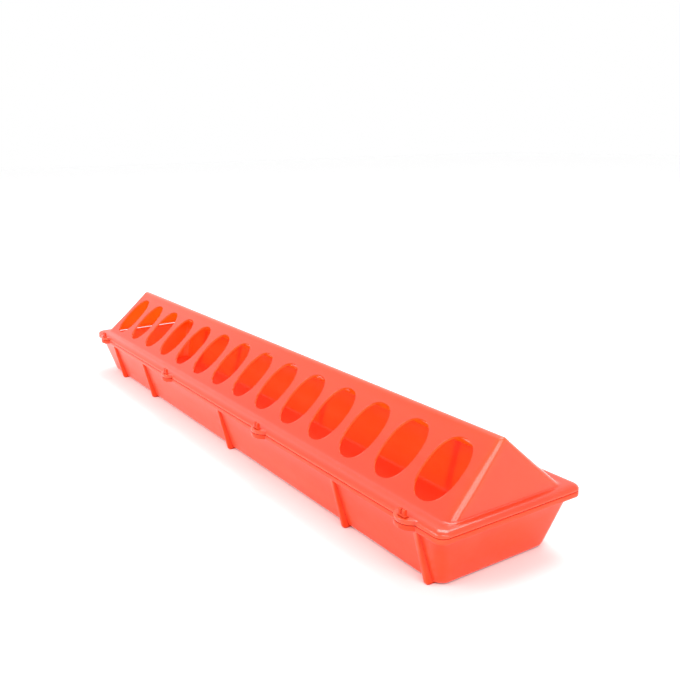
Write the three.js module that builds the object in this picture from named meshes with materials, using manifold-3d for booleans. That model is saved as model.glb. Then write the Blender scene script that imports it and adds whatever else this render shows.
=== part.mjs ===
// Flip-top trough feeder: a drafted feed trough on foot ribs, and a roof-shaped cover with feeding holes.
// Eight posts stand in the trough's ears and pass through the loops of the cover. The front posts hold the
// cover shut, and the back posts are the hooks that its back loops turn on.
// Millimetres, +Z up, +X along the length, -Y to the front. The origin is the middle of the floor face
// that the feeder rests on.
import * as THREE from 'three';
import { ConvexGeometry } from 'three/addons/geometries/ConvexGeometry.js';
import { mergeVertices } from 'three/addons/utils/BufferGeometryUtils.js';
import Module from 'manifold-3d';

const wasm = await Module();
wasm.setup();

// Driving dimensions
const LENGTH = 500;              // over the rims
const WIDTH = 96;                // over the rims, without the ears
const RIM_CORNER = 5.4;          // plan radius of the rims' corners
const WALL = 1.3;                // thickness of both mouldings
const FIT_GAP = 0.3;             // between pieces that touch
const CORNER_STEPS = 5;          // straight steps in each rounded plan corner

// Trough
const RIM_TOP = 33.8;
const RIM_DEPTH = 2.7;
const FLOOR_HALF_LENGTH = 236.6;
const FLOOR_HALF_WIDTH = 36.8;
const DRAFT = 0.29;              // outward slope of the walls, mm per mm of height
const WALL_CORNER = 6.6;
const FLOOR_ROUND = 3.2;         // radius between the walls and the floor

// Foot ribs along both long walls
const RIB_MIDDLE = 12.5;
const RIB_PITCH = 72.5;
const RIB_PLACES = [-3, -2, 0, 2, 3];
const RIB_THICKNESS = 2.6;
const RIB_OUT_TOP = 47.8;        // distance of a rib's outer edge from the middle plane, at the rim
const RIB_OUT_FOOT = 40.8;       // and at the foot
const RIB_TOE = 1.6;             // radius of the toe

// Cover
const FLANGE_TOP = 37.3;
const LIP_THICKNESS = 1.5;
const LIP_CHAMFER = 0.8;
const ROOF_HALF_LENGTH = 244.6;  // at the flange
const ROOF_HALF_WIDTH = 38.7;    // at the flange
const RIDGE_TOP = 70.2;
const RIDGE_RADIUS = 4.5;
const GABLE_LEAN = 0.14;         // inward slope of the gables, mm per mm of height
const GABLE_CORNER = 5;          // radius of the edge between a slope and a gable

// Feeding holes
const HOLES_PER_SIDE = 14;
const HOLE_PITCH = 33.8;
const HOLE_HALF_LENGTH = 13.2;   // along the feeder
const HOLE_HALF_HEIGHT = 19.2;   // down the slope
const HOLE_SQUARENESS = 2.3;     // exponent of the oval: 2 is an ellipse
const HOLE_STEPS = 24;
const HOLE_DOWN_SLOPE = 27.7;    // from the rounded ridge to a hole's middle

// Ears, loops and posts
const FRONT_EAR_PLACES = [-223, -75, 75, 223];
const BACK_EAR_PLACES = [-165, -55, 55, 165];
const EAR_HALF_WIDTH = 7.8;
const EAR_REACH = 5.2;           // beyond the rims
const EAR_STEPS = 14;
const EAR_DROP = 0.4;            // of a trough ear's top below the rim, so that a loop can turn over it
const LOOP_THICKNESS = 2.4;
const BAR_WIDTH = 2.3;           // the outer bar of a loop, which a back post holds
const LOOP_HALF_OPENING = 3.1;
const FRONT_LOOP_INNER = 47.8;   // inner end of a front loop's opening, from the middle plane
const BACK_LOOP_INNER = 44.7;    // further in, so that a back loop can swing round its post
const POST_HALF_WIDTH = 2.4;
const POST_INNER = 48.4;
const POST_OUTER = 50;
const POST_RISE = 6;             // above the middle of a loop's bar
const POST_SPLIT = 1.2;          // slit between a post's two prongs, down to the middle of the bar
const HOOK_REACH = 1.5;          // nose of a back post, over the bar
const BEAD_REACH = 0.4;          // nose of a front post, beside the bar
const NOSE = { foot: 0.9, low: 1.7, high: 2.5 };  // heights above a loop: its start, and its full reach
const TIP_TAPER = 0.5;
const FOOT_PLATE = { halfWidth: 3.4, inner: 47.9, outer: 50.8, depth: 1 };

// Worked out from the driving dimensions
const RIM_BOTTOM = RIM_TOP - RIM_DEPTH;
const LIP_BOTTOM = RIM_TOP + FIT_GAP;
const EAR_TIP = WIDTH / 2 + EAR_REACH;
const TROUGH_EAR_TOP = RIM_TOP - EAR_DROP;
const LOOP_TOP = LIP_BOTTOM + LOOP_THICKNESS;
const BAR_MIDDLE = LIP_BOTTOM + LOOP_THICKNESS / 2;
const POST_TOP = BAR_MIDDLE + POST_RISE;
const OVERLAP = 1;               // how far joined shapes run into each other

// --- Solids ---------------------------------------------------------------------------------------

function toSolid(geometry) {
  const bare = geometry.clone();
  bare.deleteAttribute('normal');
  bare.deleteAttribute('uv');
  const merged = mergeVertices(bare, 1e-4);
  return new wasm.Manifold(new wasm.Mesh({
    numProp: 3,
    vertProperties: new Float32Array(merged.attributes.position.array),
    triVerts: new Uint32Array(merged.index.array),
  }));
}

function toGeometry(solid) {
  const mesh = solid.getMesh();
  const geometry = new THREE.BufferGeometry();
  geometry.setAttribute('position', new THREE.BufferAttribute(mesh.vertProperties, 3));
  geometry.setIndex(new THREE.BufferAttribute(mesh.triVerts, 1));
  geometry.computeVertexNormals();
  return geometry;
}

// A rectangle in plan with round corners, centred on the origin
function roundedRectangle(halfLength, halfWidth, radius) {
  const x = halfLength - radius;
  const y = halfWidth - radius;
  const shape = new THREE.Shape();
  shape.absarc(x, y, radius, 0, Math.PI / 2);
  shape.absarc(-x, y, radius, Math.PI / 2, Math.PI);
  shape.absarc(-x, -y, radius, Math.PI, Math.PI * 1.5);
  shape.absarc(x, -y, radius, Math.PI * 1.5, Math.PI * 2);
  shape.closePath();
  return shape;
}

// The convex solid through a stack of rounded rectangles
function loft(rings) {
  const points = rings.flatMap(({ z, halfLength, halfWidth, radius }) =>
    roundedRectangle(halfLength, halfWidth, radius)
      .getPoints(CORNER_STEPS)
      .map((point) => new THREE.Vector3(point.x, point.y, z)));
  return toSolid(new ConvexGeometry(points));
}

function box(low, high) {
  const size = high.map((value, axis) => value - low[axis]);
  const middle = high.map((value, axis) => (value + low[axis]) / 2);
  return toSolid(new THREE.BoxGeometry(...size).translate(...middle));
}

// A box given by its span along X, and its distances from the middle plane on one side
function sideBox(side, [x0, x1], [near, far], [z0, z1]) {
  return box([x0, Math.min(side * near, side * far), z0], [x1, Math.max(side * near, side * far), z1]);
}

// A profile of [distance from the middle plane, height] points, drawn on one side and extruded along X
function sideProfile(side, points, x, thickness) {
  const shape = new THREE.Shape(points.map(([out, z]) => new THREE.Vector2(side * out, z)));
  const geometry = new THREE.ExtrudeGeometry(shape, { depth: thickness, bevelEnabled: false });
  const toYZ = new THREE.Matrix4().makeBasis(
    new THREE.Vector3(0, 1, 0),
    new THREE.Vector3(0, 0, 1),
    new THREE.Vector3(1, 0, 0),
  );
  return toSolid(geometry.applyMatrix4(toYZ).translate(x - thickness / 2, 0, 0));
}

// A half-oval tab that grows out of a rim
function ear(side, x, z0, z1) {
  const root = WIDTH / 2 - OVERLAP;
  const shape = new THREE.Shape();
  const start = side > 0 ? 0 : Math.PI;
  shape.absellipse(x, side * root, EAR_HALF_WIDTH, EAR_TIP - root, start, start + Math.PI, false, 0);
  shape.closePath();
  const geometry = new THREE.ExtrudeGeometry(shape, {
    depth: z1 - z0, bevelEnabled: false, curveSegments: EAR_STEPS,
  });
  return toSolid(geometry.translate(0, 0, z0));
}

const SIDES = [-1, 1];
const stations = [
  ...FRONT_EAR_PLACES.map((x, index) => ({
    name: `front_snap_post_${index + 1}`, side: -1, x, loopInner: FRONT_LOOP_INNER, noseReach: BEAD_REACH,
  })),
  ...BACK_EAR_PLACES.map((x, index) => ({
    name: `back_hinge_post_${index + 1}`, side: 1, x, loopInner: BACK_LOOP_INNER, noseReach: HOOK_REACH,
  })),
];

// --- Trough ---------------------------------------------------------------------------------------

// Half sizes of the trough's outer walls at a height, taken in by an inset
function wallRing(z, inset) {
  return {
    z,
    halfLength: FLOOR_HALF_LENGTH + z * DRAFT - inset,
    halfWidth: FLOOR_HALF_WIDTH + z * DRAFT - inset,
    radius: WALL_CORNER - Math.min(inset, WALL_CORNER / 2),
  };
}

// Rings of a tub whose floor edge is rounded, from its floor up to a height
function tubRings(floorZ, inset, round, topZ) {
  const turns = [0, 0.5, 1].map((part) => part * Math.PI / 2);
  const edge = turns.map((turn) => wallRing(
    floorZ + round * (1 - Math.cos(turn)),
    inset + round * (1 - Math.sin(turn)),
  ));
  return [...edge, wallRing(topZ, inset)];
}

function rib(side, x) {
  const toe = [0.5, 1].map((part) => part * Math.PI / 2).map((turn) => [
    RIB_OUT_FOOT - RIB_TOE * (1 - Math.cos(turn)),
    RIB_TOE * (1 - Math.sin(turn)),
  ]);
  const insideWall = (z) => FLOOR_HALF_WIDTH + z * DRAFT - WALL / 2;
  const top = RIM_BOTTOM + OVERLAP / 4;
  return sideProfile(side, [
    [insideWall(top), top],
    [RIB_OUT_TOP, top],
    [RIB_OUT_FOOT, RIB_TOE],
    ...toe,
    [FLOOR_HALF_WIDTH - FLOOR_ROUND - OVERLAP, 0],
    [FLOOR_HALF_WIDTH - FLOOR_ROUND / 2, WALL - OVERLAP / 2],
    [insideWall(FLOOR_ROUND), FLOOR_ROUND],
  ], x, RIB_THICKNESS);
}

function makeTrough() {
  const rimRing = { halfLength: LENGTH / 2, halfWidth: WIDTH / 2, radius: RIM_CORNER };
  let solid = loft(tubRings(0, 0, FLOOR_ROUND, RIM_TOP - OVERLAP));
  solid = solid.add(loft([{ ...rimRing, z: RIM_BOTTOM }, { ...rimRing, z: RIM_TOP }]));
  for (const side of SIDES) {
    for (const place of RIB_PLACES) {
      solid = solid.add(rib(side, RIB_MIDDLE + place * RIB_PITCH));
    }
  }
  for (const { side, x } of stations) {
    solid = solid.add(ear(side, x, RIM_BOTTOM, TROUGH_EAR_TOP));
  }
  solid = solid.subtract(loft(tubRings(WALL, WALL, FLOOR_ROUND - WALL, RIM_TOP + OVERLAP)));
  for (const { side, x } of stations) {
    const halfSlot = POST_HALF_WIDTH + FIT_GAP;
    solid = solid.subtract(sideBox(
      side,
      [x - halfSlot, x + halfSlot],
      [POST_INNER - FIT_GAP, POST_OUTER + FIT_GAP],
      [RIM_BOTTOM - OVERLAP, RIM_TOP],
    ));
  }
  return solid;
}

// --- Cover ----------------------------------------------------------------------------------------

// The slopes' angle is the one at which they run from the flange's fold into the ridge's arc
function slopeAngle() {
  let angle = Math.PI / 4;
  for (let pass = 0; pass < 20; pass += 1) {
    const sharpRidge = RIDGE_TOP + RIDGE_RADIUS * (1 / Math.cos(angle) - 1);
    angle = Math.atan2(sharpRidge - FLANGE_TOP, ROOF_HALF_WIDTH);
  }
  return angle;
}
const SLOPE = slopeAngle();
const RIDGE_CENTRE = RIDGE_TOP - RIDGE_RADIUS;

// Rings of the roof, taken in by a thickness, from a height below the flange up to the ridge
function roofRings(inset, lowZ) {
  const plan = (z, halfWidth) => ({
    z,
    halfWidth,
    halfLength: ROOF_HALF_LENGTH - inset - (z - FLANGE_TOP) * GABLE_LEAN,
    radius: Math.min(GABLE_CORNER - inset, halfWidth * 0.9),
  });
  const slopeHalfWidth = (z) => ROOF_HALF_WIDTH - inset / Math.sin(SLOPE) - (z - FLANGE_TOP) / Math.tan(SLOPE);
  const arc = [1, 0.7, 0.4, 0.1].map((part) => part * SLOPE).map((turn) => plan(
    RIDGE_CENTRE + (RIDGE_RADIUS - inset) * Math.cos(turn),
    (RIDGE_RADIUS - inset) * Math.sin(turn),
  ));
  return [plan(lowZ, slopeHalfWidth(lowZ)), ...arc];
}

function ovalShape() {
  const power = 2 / HOLE_SQUARENESS;
  const bend = (value) => Math.sign(value) * Math.abs(value) ** power;
  return new THREE.Shape(Array.from({ length: HOLE_STEPS }, (_, step) => {
    const turn = (step / HOLE_STEPS) * Math.PI * 2;
    return new THREE.Vector2(HOLE_HALF_LENGTH * bend(Math.cos(turn)), HOLE_HALF_HEIGHT * bend(Math.sin(turn)));
  }));
}

// A feeding hole's cutter, square to the slope
function feedingHole(side, x) {
  const depth = WALL * 6;
  const tangent = RIDGE_RADIUS * Math.sin(SLOPE);
  const out = tangent + (HOLE_DOWN_SLOPE - RIDGE_RADIUS * SLOPE) * Math.cos(SLOPE);
  const z = FLANGE_TOP + (ROOF_HALF_WIDTH - out) * Math.tan(SLOPE);
  const geometry = new THREE.ExtrudeGeometry(ovalShape(), { depth, bevelEnabled: false });
  geometry.translate(0, 0, -depth / 2);
  geometry.rotateX(-side * SLOPE);
  return toSolid(geometry.translate(x, side * out, z));
}

function makeCover() {
  const edge = { halfLength: LENGTH / 2, halfWidth: WIDTH / 2, radius: RIM_CORNER };
  const inset = (ring, by) => ({
    halfLength: ring.halfLength - by,
    halfWidth: ring.halfWidth - by,
    radius: ring.radius - by,
  });
  let solid = loft([
    { ...edge, z: LIP_BOTTOM },
    { ...edge, z: FLANGE_TOP - LIP_CHAMFER },
    { ...inset(edge, LIP_CHAMFER), z: FLANGE_TOP },
  ]);
  for (const { side, x } of stations) {
    solid = solid.add(ear(side, x, LIP_BOTTOM, LOOP_TOP));
  }
  const underside = inset(edge, LIP_THICKNESS);
  solid = solid.subtract(loft([
    { ...underside, z: LIP_BOTTOM - OVERLAP },
    { ...underside, z: FLANGE_TOP - WALL },
  ]));
  solid = solid.add(loft(roofRings(0, FLANGE_TOP - WALL / 2)));
  solid = solid.subtract(loft(roofRings(WALL, LIP_BOTTOM + WALL / 2)));
  for (const side of SIDES) {
    for (let hole = 0; hole < HOLES_PER_SIDE; hole += 1) {
      solid = solid.subtract(feedingHole(side, (hole - (HOLES_PER_SIDE - 1) / 2) * HOLE_PITCH));
    }
  }
  for (const { side, x, loopInner } of stations) {
    solid = solid.subtract(sideBox(
      side,
      [x - LOOP_HALF_OPENING, x + LOOP_HALF_OPENING],
      [loopInner, EAR_TIP - BAR_WIDTH],
      [LIP_BOTTOM - OVERLAP, FLANGE_TOP + OVERLAP],
    ));
  }
  return solid;
}

// --- Posts ----------------------------------------------------------------------------------------

// A split post: a foot plate under the trough's ear, and two prongs through the ear and the loop above it
function makePost({ side, x, noseReach }) {
  const footTop = RIM_BOTTOM - FIT_GAP;
  const post = sideProfile(side, [
    [POST_INNER, footTop - FOOT_PLATE.depth / 2],
    [POST_OUTER, footTop - FOOT_PLATE.depth / 2],
    [POST_OUTER, LOOP_TOP + NOSE.foot],
    [POST_OUTER + noseReach, LOOP_TOP + NOSE.low],
    [POST_OUTER + noseReach, LOOP_TOP + NOSE.high],
    [POST_OUTER - TIP_TAPER / 2, POST_TOP],
    [POST_INNER + TIP_TAPER, POST_TOP],
    [POST_INNER, POST_TOP - TIP_TAPER],
  ], x, POST_HALF_WIDTH * 2);
  const foot = sideBox(
    side,
    [x - FOOT_PLATE.halfWidth, x + FOOT_PLATE.halfWidth],
    [FOOT_PLATE.inner, FOOT_PLATE.outer],
    [footTop - FOOT_PLATE.depth, footTop],
  );
  const slit = sideBox(
    side,
    [x - POST_SPLIT / 2, x + POST_SPLIT / 2],
    [POST_INNER - OVERLAP, POST_OUTER + noseReach + OVERLAP],
    [BAR_MIDDLE, POST_TOP + OVERLAP],
  );
  return post.add(foot).subtract(slit);
}

// --- Assembly -------------------------------------------------------------------------------------

function plastic(colour) {
  return new THREE.MeshStandardMaterial({ color: colour, roughness: 0.3, metalness: 0 });
}

function addPiece(group, name, solid, colour) {
  const mesh = new THREE.Mesh(toGeometry(solid), plastic(colour));
  mesh.name = name;
  group.add(mesh);
}

const feeder = new THREE.Group();
addPiece(feeder, 'trough', makeTrough(), 0xf2503c);
addPiece(feeder, 'cover', makeCover(), 0xfa5f4d);
for (const station of stations) {
  addPiece(feeder, station.name, makePost(station), 0xe23c28);
}

export default feeder;
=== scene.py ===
"""Looks of a flip-top trough feeder: smooth moulded shells over the CAD frame, gloss plastic and a studio.

Metres, +Z up, +X along the feeder, -Y to the front with the snap posts. The sizes of the design are in
millimetres, and those across the feeder are distances from its middle plane.
"""
import math

import bmesh
import bpy
from mathutils import Matrix, Quaternion, Vector


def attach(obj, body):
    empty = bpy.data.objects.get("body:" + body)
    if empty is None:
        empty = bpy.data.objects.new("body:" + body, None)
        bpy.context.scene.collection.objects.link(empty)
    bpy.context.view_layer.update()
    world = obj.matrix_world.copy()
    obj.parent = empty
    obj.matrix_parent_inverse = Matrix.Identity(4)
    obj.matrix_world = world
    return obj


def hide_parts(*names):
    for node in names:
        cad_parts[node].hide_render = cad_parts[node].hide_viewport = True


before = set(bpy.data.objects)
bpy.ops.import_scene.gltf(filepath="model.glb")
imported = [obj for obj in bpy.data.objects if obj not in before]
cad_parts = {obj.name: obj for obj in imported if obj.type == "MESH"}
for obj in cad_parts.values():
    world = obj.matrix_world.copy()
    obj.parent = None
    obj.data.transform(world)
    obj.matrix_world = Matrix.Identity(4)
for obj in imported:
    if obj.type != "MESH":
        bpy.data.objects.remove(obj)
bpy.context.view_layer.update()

MM = 0.001
scene = bpy.context.scene

# --- Sizes of the design, in millimetres ----------------------------------------------------------
HALF_LENGTH, HALF_WIDTH, RIM_CORNER = 250, 48, 5.4
WALL = 1.3

# Trough
RIM_TOP, RIM_BOTTOM = 33.8, 31.1
FLOOR_HALF_LENGTH, FLOOR_HALF_WIDTH = 236.6, 36.8
DRAFT = 0.29  # outward slope of the walls, for each millimetre of height
WALL_CORNER, FLOOR_ROUND = 6.6, 3.2
WALL_LEVELS = (12, 22)
RIM_FILLET, RIM_UNDER_RING, RIM_TOP_RING = 0.15, 1.2, 1.6
RIM_INNER_EDGE = ((0, 1), (0.12, 0.5), (0.45, 0.12), (1, 0))  # as (drop, distance out of the wall's inside)

# Small roundings, as (radius, height and cut at the middle)
RIM_FOOT_EDGE, RIM_TOP_EDGE, LIP_FOOT_EDGE = (0.35, 0.1), (0.5, 0.15), (0.4, 0.12)

# Foot ribs
RIB_PLACES = [12.5 + 72.5 * place for place in (-3, -2, 0, 2, 3)]
RIB_THICKNESS, RIB_OUT_TOP, RIB_OUT_FOOT, RIB_TOE = 2.6, 47.8, 40.8, 1.6
RIB_LEVELS = (0, 0.08, 0.3, 0.8, 1.6, 3.2, 8, 16, 24, RIM_BOTTOM + 0.3)
RIB_SINK = 0.25
RIB_FILLET = ((0.9, -0.5), (0.81, 0), (0.27, 0.28), (0, 0.9))  # as (beyond the rib's side, out of the wall)
RIB_EDGE, RIB_EDGE_MIDDLE = 0.5, 0.15

# Cover
LIP_BOTTOM, FLANGE_TOP, LIP_ROUND_IN, LIP_ROUND_DOWN = 34.1, 37.3, 4, 2.6
LIP_TURNS = (90, 78, 66, 54, 42, 30, 15, 0)  # degrees along the rounding of the lip's upper edge
LIP_CORNER_SHARE = 0.6  # of a cut, which the corners' radius loses too
FOLD_LENGTHWISE, FOLD_ACROSS, FOLD_RISE = 1.0, 1.1, 0.8
ROOF_HALF_LENGTH, ROOF_HALF_WIDTH = 244.6, 38.7
RIDGE_TOP, RIDGE_RADIUS, RIDGE_END_ROUND = 70.2, 4.5, 1.6
GABLE_LEAN, GABLE_CORNER, CORNER_CLEARANCE = 0.14, 5.6, 0.3
COVER_EDGE = 0.28

# Feeding holes
HOLES, HOLE_PITCH = 14, 33.8
HOLE_HALF_LENGTH, HOLE_HALF_HEIGHT, HOLE_DOWN_SLOPE = 13.2, 19.2, 27.7
HOLE_SQUARENESS = 2.3  # 2 is an ellipse, more is squarer

# Ears, and the openings in them as (half width, outer end)
FRONT_EARS, BACK_EARS = [-223, -75, 75, 223], [-165, -55, 55, 165]
EAR_HALF_WIDTH, EAR_ROOT, FRONT_EAR_TIP, BACK_EAR_TIP = 7.6, 46.9, 52.3, 53.2
EAR_ROUND, EAR_FLARE = 0.45, 1.3
TROUGH_EAR_TOP, LOOP_TOP = 33.4, 36.5
LOOP_OPENING, SNUG_OPENING, SLOT_OPENING = (3.1, 50.9), (2.9, 50.4), (2.75, 50.3)
OPENING_CORNER, BACK_LOOP_INNER = 0.8, 44.7

# Posts
POST_HALF_WIDTH, POST_INNER, POST_OUTER, POST_SPLIT = 2.6, 48.3, 50.1, 0.7
POST_TOP, BAR_MIDDLE, FOOT_TOP = 40.6, 35.3, 30.8
PRONG_FOOT, STEM_FOOT = BAR_MIDDLE - 0.6, FOOT_TOP - 0.4
NOSE_START, NOSE_LOW, NOSE_HIGH = LOOP_TOP + 0.9, LOOP_TOP + 1.7, LOOP_TOP + 2.5
HOOK_REACH, BEAD_REACH = 1.5, 0.1
TIP_SHOULDER, TIP_SLOPE, TIP_IN, TIP_OUTER_IN = POST_TOP - 0.6, POST_TOP - 0.1, 0.45, 0.8
PLATE_HALF_WIDTH, PLATE_INNER, PLATE_OUTER, PLATE_THICKNESS = 3.1, 48.0, 50.5, 0.5
PRONG_ROUND, STEM_ROUND, PLATE_ROUND = 0.35, 0.55, 0.15

# Stems in the ears' openings, as (inner side, outer side, extra half width, top)
SNUG_STEM = (48.12, 50.28, 0.2, LOOP_TOP + 1.2)
LOOSE_STEM = (POST_INNER, POST_OUTER, 0, BAR_MIDDLE)

# Steps of the meshes
CORNER_STEPS, END_STEPS, TUB_STEPS = 8, 16, 60
CELL_STEPS, SIDE_STEPS = 12, 16
CELL_LOOPS = (1, 0.76, 0.52, 0.3, 0.13, 0.04, 0)  # from 1 at the edge of a hole's cell to 0 at the hole
EAR_STEPS, FLOOR_TURN_STEPS = 32, 6
SMOOTH_ANGLE, POST_EDGE_ANGLE, COVER_EDGE_ANGLE = 50, 30, 50  # degrees


def slope_angle():
    """The angle of the slopes, which run from the roof's foot up to the rounded ridge and touch it."""
    angle = math.pi / 4
    for _ in range(20):
        sharp_ridge = RIDGE_TOP + RIDGE_RADIUS * (1 / math.cos(angle) - 1)
        angle = math.atan2(sharp_ridge - FLANGE_TOP, ROOF_HALF_WIDTH)
    return angle


SLOPE = slope_angle()
STATIONS = [(i / CELL_STEPS - HOLES / 2) * HOLE_PITCH for i in range(HOLES * CELL_STEPS + 1)]


# --- Mesh helpers ---------------------------------------------------------------------------------
def lerp(a, b, t):
    return tuple(p + (q - p) * t for p, q in zip(a, b))


def rounding(radius, middle):
    """The points of a small rounding, as (height, cut)."""
    return [(0, radius), (middle, middle), (radius, 0)]


def even_stations(reach):
    return [reach * (2 * i / TUB_STEPS - 1) for i in range(1, TUB_STEPS)]


def ring(z, half_length, half_width, radius, stations):
    """A rounded rectangle in plan, anticlockwise from the front side's end at -X."""
    radius = max(radius, 0)
    rx, ry = half_length - radius, half_width - radius
    points = [(x, -half_width) for x in (-rx, *stations, rx)]

    def arc(cx, cy, start):
        for i in range(1, CORNER_STEPS + 1):
            a = math.radians(start + 90 * i / CORNER_STEPS)
            points.append((cx + radius * math.cos(a), cy + radius * math.sin(a)))

    def end(x, way):
        points.extend((x, way * ry * (2 * i / END_STEPS - 1)) for i in range(1, END_STEPS + 1))

    arc(rx, -ry, -90)
    end(half_length, 1)
    arc(rx, ry, 0)
    points.extend((x, half_width) for x in (*reversed(stations), -rx))
    arc(-rx, ry, 90)
    end(-half_length, -1)
    arc(-rx, -ry, 180)
    return [(x, y, z) for x, y in points[:-1]]


def add_points(bm, points):
    return [bm.verts.new(Vector(p) * MM) for p in points]


def face(bm, verts):
    """A face, without the corners that fall on each other."""
    kept = []
    for v in verts:
        if not kept or (v.co - kept[-1].co).length > 1e-7:
            kept.append(v)
    if len(kept) > 1 and (kept[0].co - kept[-1].co).length <= 1e-7:
        kept.pop()
    if len(kept) > 2:
        bm.faces.new(kept)


def skin(bm, rings, skip=lambda row, i: False):
    """Joins a stack of closed rings with quads, and returns the rings' vertices."""
    rows = [add_points(bm, r) for r in rings]
    for row, (low, high) in enumerate(zip(rows, rows[1:])):
        for i in range(len(low)):
            j = (i + 1) % len(low)
            if not skip(row, i):
                face(bm, (low[i], low[j], high[j], high[i]))
    return rows


def linked(name, data):
    obj = bpy.data.objects.new(name, data)
    scene.collection.objects.link(obj)
    return obj


def new_object(name, bm):
    bmesh.ops.remove_doubles(bm, verts=bm.verts, dist=2e-6)
    bmesh.ops.delete(bm, geom=[v for v in bm.verts if not v.link_faces], context="VERTS")
    mesh = bpy.data.meshes.new(name)
    bm.to_mesh(mesh)
    bm.free()
    return linked(name, mesh)


def baked(obj):
    """Applies every modifier of an object."""
    bpy.context.view_layer.update()
    graph = bpy.context.evaluated_depsgraph_get()
    mesh = bpy.data.meshes.new_from_object(obj.evaluated_get(graph))
    obj.modifiers.clear()
    obj.data = mesh


def smooth(mesh):
    for polygon in mesh.polygons:
        polygon.use_smooth = True
    mesh.set_sharp_from_angle(angle=math.radians(SMOOTH_ANGLE))


def soften(obj, width, angle, segments=2):
    """Rounds the sharp edges and shades the rest smooth."""
    bevel = obj.modifiers.new("edges", "BEVEL")
    bevel.width = width * MM
    bevel.segments = segments
    bevel.limit_method = "ANGLE"
    bevel.angle_limit = math.radians(angle)
    bevel.miter_outer = "MITER_ARC"
    baked(obj)
    smooth(obj.data)
    return obj


def joined(name, parts):
    """One object from several, each of which is a closed body."""
    bm = bmesh.new()
    for part in parts:
        bm.from_mesh(part.data)
        bpy.data.objects.remove(part)
    mesh = bpy.data.meshes.new(name)
    bm.to_mesh(mesh)
    bm.free()
    smooth(mesh)
    return linked(name, mesh)


def closed(name, rows):
    """A closed body through rows of section points, capped at both ends."""
    bm = bmesh.new()
    made = skin(bm, rows)
    bm.faces.new(reversed(made[0]))
    bm.faces.new(made[-1])
    bmesh.ops.recalc_face_normals(bm, faces=bm.faces)
    return new_object(name, bm)


def prism(name, profile, x0, x1, side):
    """A profile of (distance from the middle plane, height) points, run along X."""
    return closed(name, [[(x, side * y, z) for y, z in profile] for x in (x0, x1)])


# --- Cover ----------------------------------------------------------------------------------------
def roof_plan(z, half_width, radius, shortened=0):
    """The roof's plan at a height: what ring takes, without the stations."""
    return (z, ROOF_HALF_LENGTH - (z - FLANGE_TOP) * GABLE_LEAN - shortened, half_width, radius)


def ridge_plan(part):
    """A level of the rounded ridge, from its top at 0 to where the slopes start at 1."""
    turn = part * SLOPE
    half_width = RIDGE_RADIUS * math.sin(turn)
    return roof_plan(
        RIDGE_TOP - RIDGE_RADIUS + RIDGE_RADIUS * math.cos(turn), half_width,
        min(GABLE_CORNER, half_width * 0.9), RIDGE_END_ROUND * (1 - part) ** 2,
    )


PANEL_FOOT = roof_plan(FLANGE_TOP + FOLD_RISE, ROOF_HALF_WIDTH - FOLD_RISE / math.tan(SLOPE), GABLE_CORNER)
PANEL_HEAD = ridge_plan(1)
PANEL_LENGTH = math.hypot(PANEL_FOOT[2] - PANEL_HEAD[2], PANEL_HEAD[0] - PANEL_FOOT[0])


def oval_point(u, v, v_hole):
    """The point of a hole's edge that faces a point on the edge of its cell."""
    span = v_hole if v < v_hole else 1 - v_hole
    turn = math.atan2((v - v_hole) / span, u / 0.5)
    c, s = math.cos(turn), math.sin(turn)
    power = 2 / HOLE_SQUARENESS
    return (
        math.copysign(abs(c) ** power, c) * HOLE_HALF_LENGTH / HOLE_PITCH,
        v_hole + math.copysign(abs(s) ** power, s) * HOLE_HALF_HEIGHT / PANEL_LENGTH,
    )


def hole_cell(bm, side, middle):
    """One pitch of a slope with its feeding hole, in loops that run from the cell's edge to the hole.

    u runs along the feeder from -0.5 to 0.5, and v up the slope from 0 to 1.
    """
    v_hole = 1 - (HOLE_DOWN_SLOPE - RIDGE_RADIUS * SLOPE) / PANEL_LENGTH
    edge = [(i / CELL_STEPS - 0.5, 0) for i in range(CELL_STEPS)]
    edge += [(0.5, j / SIDE_STEPS) for j in range(SIDE_STEPS)]
    edge += [(0.5 - i / CELL_STEPS, 1) for i in range(CELL_STEPS)]
    edge += [(-0.5, 1 - j / SIDE_STEPS) for j in range(SIDE_STEPS)]
    oval = [oval_point(u, v, v_hole) for u, v in edge]
    loops = []
    for part in CELL_LOOPS:
        points = []
        for start, finish in zip(oval, edge):
            u, v = lerp(start, finish, part)
            z, _, y, _ = lerp(PANEL_FOOT, PANEL_HEAD, v)
            points.append((middle + u * HOLE_PITCH, side * y, z))
        loops.append(add_points(bm, points))
    for outer, inner in zip(loops, loops[1:]):
        for i in range(len(outer)):
            j = (i + 1) % len(outer)
            quad = (outer[i], outer[j], inner[j], inner[i])
            bm.faces.new(quad if side < 0 else reversed(quad))


def lip_rings():
    """The rim lip, from its lower edge up and round its upper edge."""
    rings = [(LIP_BOTTOM + rise, HALF_LENGTH - cut, HALF_WIDTH - cut, RIM_CORNER - cut)
             for rise, cut in rounding(*LIP_FOOT_EDGE)]
    for turn in LIP_TURNS:
        cut = LIP_ROUND_IN * (1 - math.sin(math.radians(turn)))
        z = FLANGE_TOP - LIP_ROUND_DOWN * (1 - math.cos(math.radians(turn)))
        rings.append((z, HALF_LENGTH - cut, HALF_WIDTH - cut, RIM_CORNER - LIP_CORNER_SHARE * cut))
    return rings


def fold_rings(lip):
    """The flat flange from the lip inward, and the fold up into the roof."""
    outer = (FLANGE_TOP, ROOF_HALF_LENGTH + FOLD_LENGTHWISE, ROOF_HALF_WIDTH + FOLD_ACROSS, GABLE_CORNER)
    sharp = (FLANGE_TOP, ROOF_HALF_LENGTH, ROOF_HALF_WIDTH, GABLE_CORNER)
    curve = [lerp(lerp(outer, sharp, t), lerp(sharp, PANEL_FOOT, t), t) for t in (0, 0.25, 0.5, 0.75)]
    return [lerp(lip, outer, 0.5), *curve]


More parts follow.
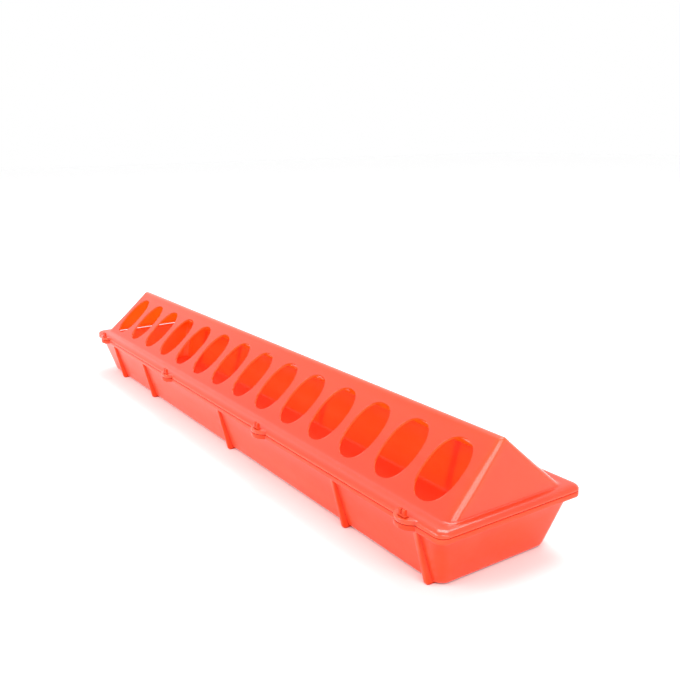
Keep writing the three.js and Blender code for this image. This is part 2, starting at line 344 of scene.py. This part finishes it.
def panel_rings():
    """The slopes and gables. The edges between them are rounded as far as the holes' cells leave room."""
    rings = []
    for j in range(SIDE_STEPS):
        z, half_length, half_width, _ = lerp(PANEL_FOOT, PANEL_HEAD, j / SIDE_STEPS)
        room = half_length - STATIONS[-1] - CORNER_CLEARANCE
        rings.append((z, half_length, half_width, min(GABLE_CORNER, room)))
    return rings


def cover_skin():
    """The cover's outside, whose slopes are made of the holes' cells."""
    rings = lip_rings()
    rings += fold_rings(rings[-1])
    panel = len(rings)
    rings += panel_rings()
    rings += [ridge_plan(part) for part in (1, 0.8, 0.6, 0.4, 0.2, 0)]
    front = range(1, len(STATIONS))
    back_start = len(STATIONS) + 2 + 2 * CORNER_STEPS + END_STEPS
    back = range(back_start, back_start + len(STATIONS) - 1)

    def on_slope(row, i):
        return panel <= row < panel + SIDE_STEPS and (i in front or i in back)

    bm = bmesh.new()
    skin(bm, [ring(*r, STATIONS) for r in rings], on_slope)
    for side in (-1, 1):
        for hole in range(HOLES):
            hole_cell(bm, side, (hole - (HOLES - 1) / 2) * HOLE_PITCH)
    return new_object("cover_shell", bm)


def back_cutters():
    """Cutters for the places where the back loops' openings run into the lip."""
    half_opening, opening_tip = LOOP_OPENING
    return joined("cutters", [
        closed("cutter", [
            [(x - half_opening, BACK_LOOP_INNER, z), (x + half_opening, BACK_LOOP_INNER, z),
             (x + half_opening, opening_tip, z), (x - half_opening, opening_tip, z)]
            for z in (LIP_BOTTOM - 1, FLANGE_TOP + 1)
        ])
        for x in BACK_EARS
    ])


def make_cover():
    cover = cover_skin()
    solid = cover.modifiers.new("wall", "SOLIDIFY")
    solid.thickness = WALL * MM
    solid.offset = -1
    solid.use_even_offset = True
    solid.use_quality_normals = True
    baked(cover)
    cutters = back_cutters()
    cut = cover.modifiers.new("openings", "BOOLEAN")
    cut.operation = "DIFFERENCE"
    cut.solver = "MANIFOLD"
    cut.object = cutters
    baked(cover)
    bpy.data.objects.remove(cutters)
    soften(cover, COVER_EDGE, COVER_EDGE_ANGLE)
    ears = [ear(x, -1, FRONT_EAR_TIP, LIP_BOTTOM, LOOP_TOP, *SNUG_OPENING) for x in FRONT_EARS]
    ears += [ear(x, 1, BACK_EAR_TIP, LIP_BOTTOM, LOOP_TOP, *LOOP_OPENING) for x in BACK_EARS]
    return joined("cover_shell", [cover, *ears])


# --- Ears -----------------------------------------------------------------------------------------
def opening_point(half_opening, opening_tip, part):
    """A point on an ear's opening, from 0 at one leg's root to 1 at the other's.

    The opening has straight legs and a square outer end with rounded corners.
    """
    if part > 0.5:
        x, y = opening_point(half_opening, opening_tip, 1 - part)
        return -x, y
    leg, across = opening_tip - EAR_ROOT - OPENING_CORNER, half_opening - OPENING_CORNER
    bend = OPENING_CORNER * math.pi / 2
    along = part * 2 * (leg + bend + across)
    if along <= leg:
        return half_opening, EAR_ROOT + along
    if along <= leg + bend:
        a = (along - leg) / OPENING_CORNER
        return across + OPENING_CORNER * math.cos(a), EAR_ROOT + leg + OPENING_CORNER * math.sin(a)
    return across - (along - leg - bend), opening_tip


def ear_section(span, z0, z1):
    """An upright rectangle with rounded corners, as (distance inward, height) points."""
    near, far, low, high = EAR_ROUND, span - EAR_ROUND, z0 + EAR_ROUND, z1 - EAR_ROUND
    section = []
    for cx, cz, start in ((near, low, 270), (near, high, 180), (far, high, 90), (far, low, 0)):
        for i in range(4):
            a = math.radians(start - 30 * i)
            section.append((cx + EAR_ROUND * math.cos(a), cz + EAR_ROUND * math.sin(a)))
    return section


def ear(x, side, tip, z0, z1, half_opening, opening_tip):
    """A half-oval tab bent round the opening that a post stands in. Its legs run into the rim."""
    rows = []
    for step in range(EAR_STEPS + 1):
        part = step / EAR_STEPS
        turn = part * math.pi
        flare = EAR_FLARE * (1 - math.sin(turn)) ** 4
        ox = (EAR_HALF_WIDTH + flare) * math.cos(turn)
        oy = EAR_ROOT + (tip - EAR_ROOT) * math.sin(turn)
        ix, iy = opening_point(half_opening, opening_tip, part)
        span = math.hypot(ix - ox, iy - oy)
        ex, ey = (ix - ox) / span, (iy - oy) / span
        section = ear_section(span, z0, z1)
        rows.append([(x + ox + ex * s, side * (oy + ey * s), z) for s, z in section])
    return closed("ear", rows)


# --- Trough ---------------------------------------------------------------------------------------
def tub_ring(z, inset):
    """A level of the tub's wall, inset from its outside."""
    half_length = FLOOR_HALF_LENGTH + z * DRAFT - inset
    half_width = FLOOR_HALF_WIDTH + z * DRAFT - inset
    radius = WALL_CORNER - min(inset, WALL_CORNER / 2)
    return ring(z, half_length, half_width, radius, even_stations(half_length - radius))


def rim_ring(z, cut):
    """A level of the rim, cut back from its outer edge."""
    half_length, radius = HALF_LENGTH - cut, RIM_CORNER - cut
    return ring(z, half_length, HALF_WIDTH - cut, radius, even_stations(half_length - radius))


def floor_turn(floor_z, inset, radius):
    """The rounding from a floor up into the wall."""
    for i in range(FLOOR_TURN_STEPS + 1):
        turn = i / FLOOR_TURN_STEPS * math.pi / 2
        yield tub_ring(floor_z + radius * (1 - math.cos(turn)), inset + radius * (1 - math.sin(turn)))


def make_tub():
    """The tub's shell: up its outside, round the rim and down its inside."""
    rings = list(floor_turn(0, 0, FLOOR_ROUND))
    rings += [tub_ring(z, 0) for z in (*WALL_LEVELS, RIM_BOTTOM - 0.5)]
    rings += [tub_ring(RIM_BOTTOM - RIM_FILLET, -RIM_FILLET), rim_ring(RIM_BOTTOM, RIM_UNDER_RING)]
    rings += [rim_ring(RIM_BOTTOM + rise, cut) for rise, cut in rounding(*RIM_FOOT_EDGE)]
    rings += [rim_ring(RIM_TOP - drop, cut) for drop, cut in reversed(rounding(*RIM_TOP_EDGE))]
    rings += [rim_ring(RIM_TOP, RIM_TOP_RING)]
    rings += [tub_ring(RIM_TOP - drop, WALL - out) for drop, out in RIM_INNER_EDGE]
    rings += [tub_ring(z, WALL) for z in reversed(WALL_LEVELS)]
    rings += reversed(list(floor_turn(WALL, WALL, FLOOR_ROUND - WALL)))
    bm = bmesh.new()
    rows = skin(bm, rings)
    bm.faces.new(reversed(rows[0]))
    bm.faces.new(rows[-1])
    return new_object("shell", bm)


def wall_at(z):
    """Distance of the trough's outer wall from the middle plane."""
    turned = max(0.0, 1 - z / FLOOR_ROUND)
    return FLOOR_HALF_WIDTH + z * DRAFT - FLOOR_ROUND * (1 - math.sqrt(max(0.0, 1 - turned ** 2)))


def rib(x, side):
    """A foot rib with a rounded outer edge, a rounded toe and a small fillet where it leaves the wall."""
    half = RIB_THICKNESS / 2
    rows = []
    for z in RIB_LEVELS:
        out = RIB_OUT_FOOT + (RIB_OUT_TOP - RIB_OUT_FOOT) * max(0, z - RIB_TOE) / (RIM_BOTTOM - RIB_TOE)
        if z < RIB_TOE:
            out -= RIB_TOE * (1 - math.sqrt(1 - (1 - z / RIB_TOE) ** 2))
        wall = wall_at(z) - RIB_SINK
        profile = [(half + beyond, wall + away) for beyond, away in RIB_FILLET]
        profile += [(half, out - RIB_EDGE), (half - RIB_EDGE_MIDDLE, out - RIB_EDGE_MIDDLE)]
        profile += [(half - RIB_EDGE, out)]
        section = profile + [(-u, y) for u, y in reversed(profile)]
        rows.append([(x + u, side * y, z) for u, y in section])
    return closed("rib", rows)


def make_trough():
    parts = [make_tub()]
    parts += [rib(x, side) for side in (-1, 1) for x in RIB_PLACES]
    parts += [ear(x, -1, FRONT_EAR_TIP, RIM_BOTTOM, RIM_TOP, *SNUG_OPENING) for x in FRONT_EARS]
    parts += [ear(x, 1, BACK_EAR_TIP, RIM_BOTTOM, TROUGH_EAR_TOP, *SLOT_OPENING) for x in BACK_EARS]
    return joined("trough_shell", parts)


# --- Posts ----------------------------------------------------------------------------------------
def prong_profile(nose):
    """A prong, from its foot up its outer side with the nose, over the sloped tip and down."""
    return [
        (POST_INNER, PRONG_FOOT), (POST_OUTER, PRONG_FOOT), (POST_OUTER, NOSE_START),
        (POST_OUTER + nose, NOSE_LOW), (POST_OUTER + nose, NOSE_HIGH), (POST_OUTER, TIP_SHOULDER),
        (POST_OUTER - TIP_IN, TIP_SLOPE), (POST_OUTER - TIP_OUTER_IN, POST_TOP),
        (POST_INNER + TIP_IN, TIP_SLOPE), (POST_INNER, TIP_SHOULDER),
    ]


def box_profile(inner, outer, low, high):
    return [(inner, low), (outer, low), (outer, high), (inner, high)]


def make_post(name, x, side, nose, inner, outer, spread, stem_top):
    """A stubby post, whose two prongs leave a notch across its top, down to the top of its stem."""
    prong = prong_profile(nose)
    stem = box_profile(inner, outer, STEM_FOOT, stem_top)
    plate = box_profile(PLATE_INNER, PLATE_OUTER, FOOT_TOP - PLATE_THICKNESS, FOOT_TOP)
    stem_half = POST_HALF_WIDTH + spread
    shapes = [
        (prism("prong", prong, x - POST_HALF_WIDTH, x - POST_SPLIT / 2, side), PRONG_ROUND, 3),
        (prism("prong", prong, x + POST_SPLIT / 2, x + POST_HALF_WIDTH, side), PRONG_ROUND, 3),
        (prism("stem", stem, x - stem_half, x + stem_half, side), STEM_ROUND, 3),
        (prism("plate", plate, x - PLATE_HALF_WIDTH, x + PLATE_HALF_WIDTH, side), PLATE_ROUND, 2),
    ]
    return joined(name, [soften(shape, width, POST_EDGE_ANGLE, steps) for shape, width, steps in shapes])


# --- Materials ------------------------------------------------------------------------------------
class Nodes:
    """Short words for building a node tree."""

    def __init__(self, name):
        self.material = bpy.data.materials.new(name)
        self.material.use_nodes = True
        self.tree = self.material.node_tree
        self.tree.nodes.clear()

    def give(self, node, socket, value):
        target = node.inputs[socket]
        if isinstance(value, bpy.types.NodeSocket):
            self.tree.links.new(value, target)
        else:
            target.default_value = value

    def add(self, kind, settings=None, **inputs):
        """A node with its settings and its inputs. An underscore stands for a space in an input's name."""
        node = self.tree.nodes.new(kind)
        for key, value in (settings or {}).items():
            setattr(node, key, value)
        for key, value in inputs.items():
            self.give(node, key.replace("_", " "), value)
        return node

    def noise(self, scale, detail, where):
        return self.add("ShaderNodeTexNoise", Scale=scale, Detail=detail, Vector=where).outputs["Fac"]

    def ramp(self, value, low, high, to_low=0.0, to_high=1.0):
        limits = {"From_Min": low, "From_Max": high, "To_Min": to_low, "To_Max": to_high}
        return self.add("ShaderNodeMapRange", Value=value, **limits).outputs["Result"]

    def calculate(self, operation, a, b):
        node = self.add("ShaderNodeMath", {"operation": operation})
        self.give(node, 0, a)
        self.give(node, 1, b)
        return node.outputs[0]

    def mix(self, factor, a, b):
        """Mixes two colours, which are the node's inputs 6 and 7."""
        node = self.add("ShaderNodeMix", {"data_type": "RGBA"}, Factor=factor)
        for index, value in ((6, a), (7, b)):
            self.give(node, index, value if isinstance(value, bpy.types.NodeSocket) else (*value, 1))
        return node.outputs[2]

    def blend(self, factor, a, b):
        node = self.add("ShaderNodeMixShader")
        for socket, value in enumerate((factor, a.outputs[0], b.outputs[0])):
            self.give(node, socket, value)
        return node

    def output(self, surface):
        """Ends the tree with a surface, and returns the material."""
        self.add("ShaderNodeOutputMaterial", Surface=surface.outputs[0])
        return self.material


# Noise, as (scale, detail)
CLOUD, STREAKS, GRAIN, WAVES = (9, 4), (1.0, 3), (900, 2), (160, 2)
STREAK_STRETCH = (6, 90, 90)
BUMP_STRENGTH, BUMP_DISTANCE = 0.12, 0.0006
# Painted shade in crevices, from ambient occlusion
CREVICE_REACH, CREVICE_SAMPLES = 0.0012, 6  # the reach, in metres, has to stay below the wall's thickness
PAINTED_CREVICE_SHADE, CREVICE_CLEAR = 0.3, 0.1  # shares of the deep colour and of clear that are left in a crevice
# A painted glow of the plastic's own, in place of light that bounces inside the red shells
PAINTED_GLOW_COLOUR, PAINTED_GLOW_IN_CREVICE, PAINTED_GLOW_OPEN = (1.0, 0.055, 0.006, 1), 0.22, 0.2


def moulded_colour(n, place, cloud, edges, body, deep, pale):
    """Slow clouds of colour, faint flow streaks along the feeder and a painted highlight on sharp edges."""
    flow = n.add("ShaderNodeMapping", Vector=place, Scale=STREAK_STRETCH)
    streak = n.noise(*STREAKS, flow.outputs["Vector"])
    colour = n.mix(n.ramp(cloud, 0.35, 0.7), body, deep)
    colour = n.mix(n.ramp(streak, 0.45, 0.75, 0, 0.1), colour, pale)
    # Painted highlight: sharp edges, found by pointiness, are turned towards the pale colour.
    return n.mix(n.ramp(edges, 0.53, 0.62, 0, 0.6), colour, pale)


def moulded_bump(n, place, grain):
    """The slight waves and the fine grain of a moulded face."""
    height = n.calculate("ADD", n.noise(*WAVES, place), n.ramp(grain, 0, 1, 0, 0.12))
    bump = n.add("ShaderNodeBump", Strength=BUMP_STRENGTH, Distance=BUMP_DISTANCE, Height=height)
    return bump.outputs["Normal"]


def plastic(name, body, deep, pale, through, clear, rough, gloss):
    """Gloss moulded plastic that lets light through.

    body is its own colour, deep that of the slow clouds and of the painted shade in crevices, pale that of
    the faint streaks and of the painted highlight on sharp edges, and through that of the light that comes
    through a wall. clear is that light's share, rough the roughness and gloss the refractive index. The
    plastic also gives off a faint painted glow of its own.
    """
    n = Nodes(name)
    place = n.add("ShaderNodeTexCoord").outputs["Object"]
    geometry = n.add("ShaderNodeNewGeometry")
    cloud, grain = n.noise(*CLOUD, place), n.noise(*GRAIN, place)
    # Painted shade: ambient occlusion darkens creases, seams and the gaps between parts towards the deep
    # colour.
    crevice = n.add("ShaderNodeAmbientOcclusion", {"samples": CREVICE_SAMPLES}, Distance=CREVICE_REACH)
    open_sky = n.ramp(crevice.outputs["AO"], 0.58, 0.98)
    colour = moulded_colour(n, place, cloud, geometry.outputs["Pointiness"], body, deep, pale)
    colour = n.mix(open_sky, tuple(PAINTED_CREVICE_SHADE * c for c in deep), colour)
    cloudy = n.ramp(cloud, 0.3, 0.7, rough - 0.03, rough + 0.06)
    finish = {
        "Roughness": n.calculate("ADD", cloudy, n.ramp(grain, 0.4, 0.8, 0, 0.08)),
        "Normal": moulded_bump(n, place, grain),
    }
    # The emission is a painted glow: a faint red light of the plastic's own in place of light that bounces
    # inside the red shells, a little stronger in crevices.
    surface = n.add(
        "ShaderNodeBsdfPrincipled", Base_Color=colour, IOR=gloss, **finish, Emission_Color=PAINTED_GLOW_COLOUR,
        Emission_Strength=n.ramp(open_sky, 0, 1, PAINTED_GLOW_IN_CREVICE, PAINTED_GLOW_OPEN))
    inner_light = n.add("ShaderNodeBsdfTranslucent", Color=(*through, 1))
    sheen = n.add("ShaderNodeBsdfAnisotropic", Color=(1, 1, 1, 1), **finish)
    fresnel = n.add("ShaderNodeFresnel", IOR=gloss, Normal=finish["Normal"])
    outside = n.calculate("SUBTRACT", 1.0, geometry.outputs["Backfacing"])
    sheen_share = n.calculate("MULTIPLY", fresnel.outputs[0], outside)
    clear_side = n.blend(sheen_share, inner_light, sheen)
    # In crevices less light comes through the plastic, which is painted shade too.
    clear_share = n.ramp(open_sky, 0, 1, CREVICE_CLEAR * clear, clear)
    return n.output(n.blend(clear_share, surface, clear_side))


THROUGH = (1.0, 0.38, 0.04)
TROUGH_PLASTIC = plastic(
    "trough_plastic", (0.97, 0.062, 0.020), (0.95, 0.053, 0.015), (1.0, 0.30, 0.18), THROUGH,
    clear=0.45, rough=0.32, gloss=1.31)
COVER_PLASTIC = plastic(
    "cover_plastic", (0.97, 0.084, 0.034), (0.95, 0.070, 0.026), (1.0, 0.24, 0.15), THROUGH,
    clear=0.65, rough=0.15, gloss=1.5)
# The posts' plastic is a darker, less clear copy of the others: painted shade on the posts.
POST_PLASTIC = plastic(
    "post_plastic", (0.74, 0.037, 0.006), (0.68, 0.030, 0.004), (0.9, 0.08, 0.025), (0.9, 0.1, 0.01),
    clear=0.15, rough=0.4, gloss=1.32)


# --- Pieces ---------------------------------------------------------------------------------------
def finish_piece(obj, material, body, node):
    obj.data.materials.clear()
    obj.data.materials.append(material)
    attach(obj, body)
    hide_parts(node)


finish_piece(make_trough(), TROUGH_PLASTIC, "base", "trough")
finish_piece(make_cover(), COVER_PLASTIC, "lid", "cover")
for side, places, kind, nose, stem in (
    (-1, FRONT_EARS, "front_snap_post", BEAD_REACH, SNUG_STEM),
    (1, BACK_EARS, "back_hinge_post", HOOK_REACH, LOOSE_STEM),
):
    for number, x in enumerate(places, 1):
        post = make_post(f"{kind}_shape_{number}", x, side, nose, *stem)
        finish_piece(post, POST_PLASTIC, "base", f"{kind}_{number}")


# --- Studio ---------------------------------------------------------------------------------------
FLOOR_HALF, FADE_START, FADE_END = 6, 0.5, 1.6
LIGHT_DISTANCE, LIGHT_TARGET = 1.6, (0, 0, 0.03)
CAMERA_PLACE = (0.5041, -0.26882, 0.21403)
CAMERA_HEADING, CAMERA_PITCH, CAMERA_ROLL = 146.582, -14.225, -0.955  # degrees
CAMERA_SENSOR, CAMERA_LENS = 36, 42.911


def floor_material():
    """A pale floor that turns nearly white away from the feeder, so that no horizon shows."""
    n = Nodes("studio_floor")
    place = n.add("ShaderNodeTexCoord").outputs["Object"]
    distance = n.add("ShaderNodeVectorMath", {"operation": "LENGTH"}, Vector=place).outputs["Value"]
    colour = n.mix(n.noise(3, 2, place), (0.73, 0.73, 0.73), (0.76, 0.76, 0.76))
    colour = n.mix(n.ramp(distance, FADE_START, FADE_END), colour, (0.99, 0.99, 0.99))
    return n.output(n.add("ShaderNodeBsdfPrincipled", Base_Color=colour, Roughness=0.7))


def make_floor():
    corners = ((-1, -1), (1, -1), (1, 1), (-1, 1))
    mesh = bpy.data.meshes.new("studio_floor")
    mesh.from_pydata([(x * FLOOR_HALF, y * FLOOR_HALF, 0) for x, y in corners], [], [(0, 1, 2, 3)])
    mesh.materials.append(floor_material())
    linked("studio_floor", mesh)


def area_light(name, direction, size, power, turn=0):
    """A rectangular soft light that looks at the feeder from a direction, turned about that direction."""
    light = bpy.data.lights.new(name, "AREA")
    light.shape = "RECTANGLE"
    light.size, light.size_y = size
    light.energy = power
    obj = linked(name, light)
    towards = Vector(direction).normalized()
    obj.location = towards * LIGHT_DISTANCE + Vector(LIGHT_TARGET)
    obj.rotation_mode = "QUATERNION"
    obj.rotation_quaternion = towards.to_track_quat("Z", "Y") @ Quaternion((0, 0, 1), math.radians(turn))


def make_world():
    world = bpy.data.worlds.new("studio")
    scene.world = world
    world.use_nodes = True
    background = world.node_tree.nodes["Background"]
    background.inputs["Color"].default_value = (1, 1, 1, 1)
    background.inputs["Strength"].default_value = 1.0


def make_camera():
    heading, pitch, roll = (math.radians(a) for a in (CAMERA_HEADING, CAMERA_PITCH, CAMERA_ROLL))
    level = math.cos(pitch)
    forward = Vector((level * math.cos(heading), level * math.sin(heading), math.sin(pitch)))
    right = forward.cross(Vector((0, 0, 1))).normalized()
    up = right.cross(forward)
    x_axis = right * math.cos(roll) + up * math.sin(roll)
    y_axis = up * math.cos(roll) - right * math.sin(roll)
    data = bpy.data.cameras.new("camera")
    data.sensor_width = CAMERA_SENSOR
    data.lens = CAMERA_LENS
    data.clip_start = 0.01
    obj = linked("camera", data)
    rows = [(x_axis[i], y_axis[i], -forward[i], CAMERA_PLACE[i]) for i in range(3)]
    obj.matrix_world = Matrix((*rows, (0, 0, 0, 1)))
    scene.camera = obj


make_floor()
make_world()
area_light("key", (-0.22, -0.82, 0.53), (1.2, 0.7), 15.5)
area_light("edge", (0.76, -0.16, 0.63), (1.6, 0.6), 15.5, -45)
area_light("top", (-0.15, 0.35, 0.92), (1.2, 0.7), 19)
make_camera()
scene.view_settings.view_transform = "Standard"
scene.view_settings.look = "None"
